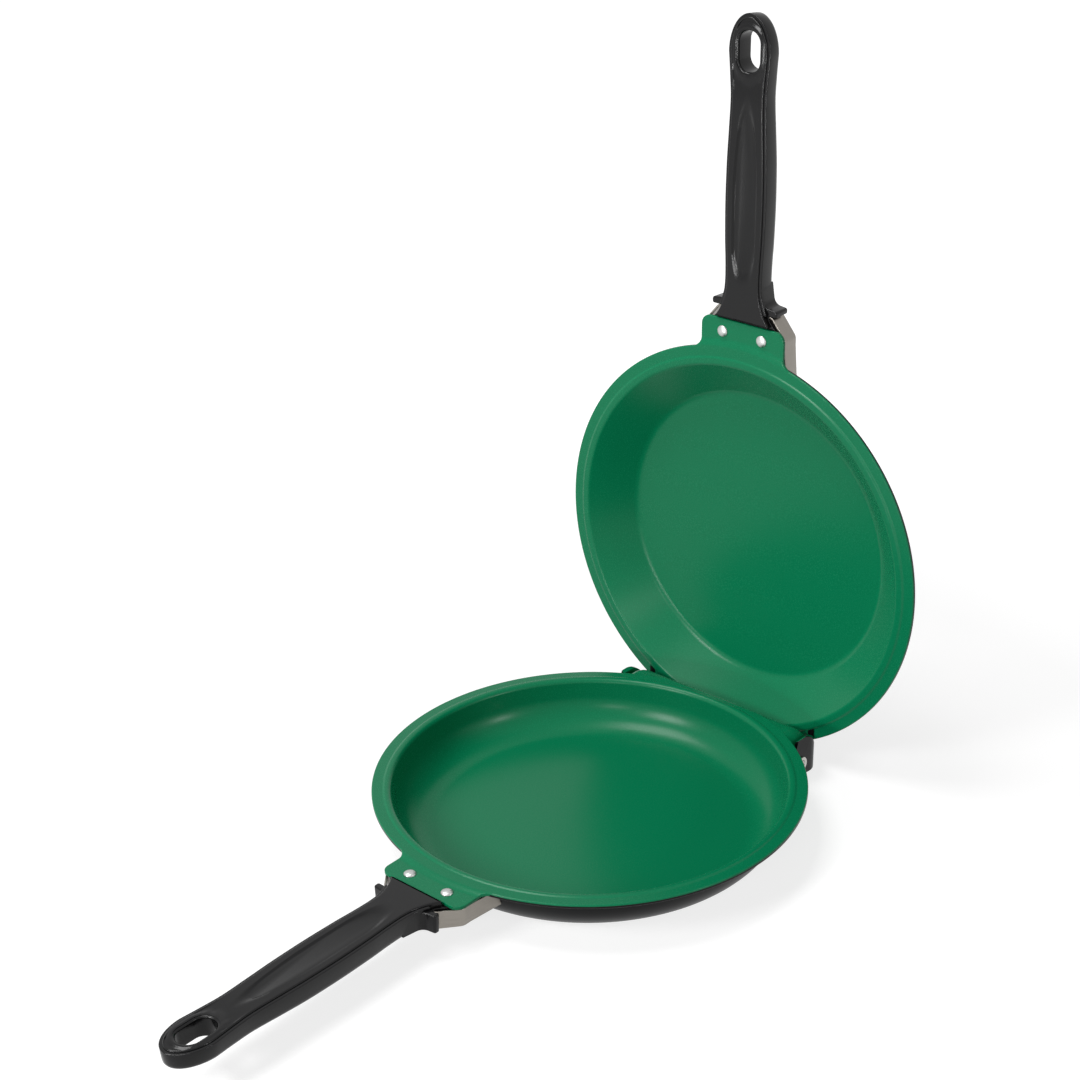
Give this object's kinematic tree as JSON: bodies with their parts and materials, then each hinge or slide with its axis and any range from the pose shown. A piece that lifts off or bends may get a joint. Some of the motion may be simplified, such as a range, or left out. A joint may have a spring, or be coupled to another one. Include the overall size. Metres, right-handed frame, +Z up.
{
  "type": "double sided flip pan",
  "caption": "Two round shallow pans hinged at the back to close face to face, each with a riveted lug, a steel strap and a long handle with a hanging hole.",
  "frame": {"origin": "middle of the flat base of the lower pan, on the surface it stands on", "axes": "+Z up, -Y towards the lower handle's end, +Y towards the hinge, X along the hinge pins"},
  "size_m": [0.25, 0.4829, 0.4476],
  "materials": {
    "coated_aluminium": "pressed aluminium, green non-stick coating inside, black coating outside",
    "phenolic": "moulded black phenolic with a satin face",
    "brushed_stainless": "brushed stainless strip",
    "brass": "turned brass",
    "aluminium_rivet": "bright headed aluminium",
    "steel_rivet": "nickel plated steel, rolled end",
    "zinc_steel": "zinc plated steel",
    "washer_steel": "stamped steel"
  },
  "bodies": {
    "lower_half": {"lower_pan": "coated_aluminium", "lower_handle": "phenolic", "lower_strap": "brushed_stainless", "lower_lug_rivets": "aluminium_rivet", "lower_rivet_washers": "washer_steel", "lower_strap_screw": "zinc_steel", "lower_handle_insert": "brass", "left_hinge_rivet": "steel_rivet", "right_hinge_rivet": "steel_rivet", "left_friction_washer": "washer_steel", "right_friction_washer": "washer_steel", "left_hinge_washer": "washer_steel", "right_hinge_washer": "washer_steel"},
    "upper_half": {"upper_pan": "coated_aluminium", "upper_handle": "phenolic", "upper_strap": "brushed_stainless", "upper_lug_rivets": "aluminium_rivet", "upper_rivet_washers": "washer_steel", "upper_strap_screw": "zinc_steel", "upper_handle_insert": "brass"}
  },
  "joints": [
    {"name": "pan_hinge", "type": "hinge", "parent": "lower_half", "child": "upper_half", "pos_m": [0, 0.114, 0.012], "axis": [1, 0, 0], "range_deg": [0, 91]}
  ]
}
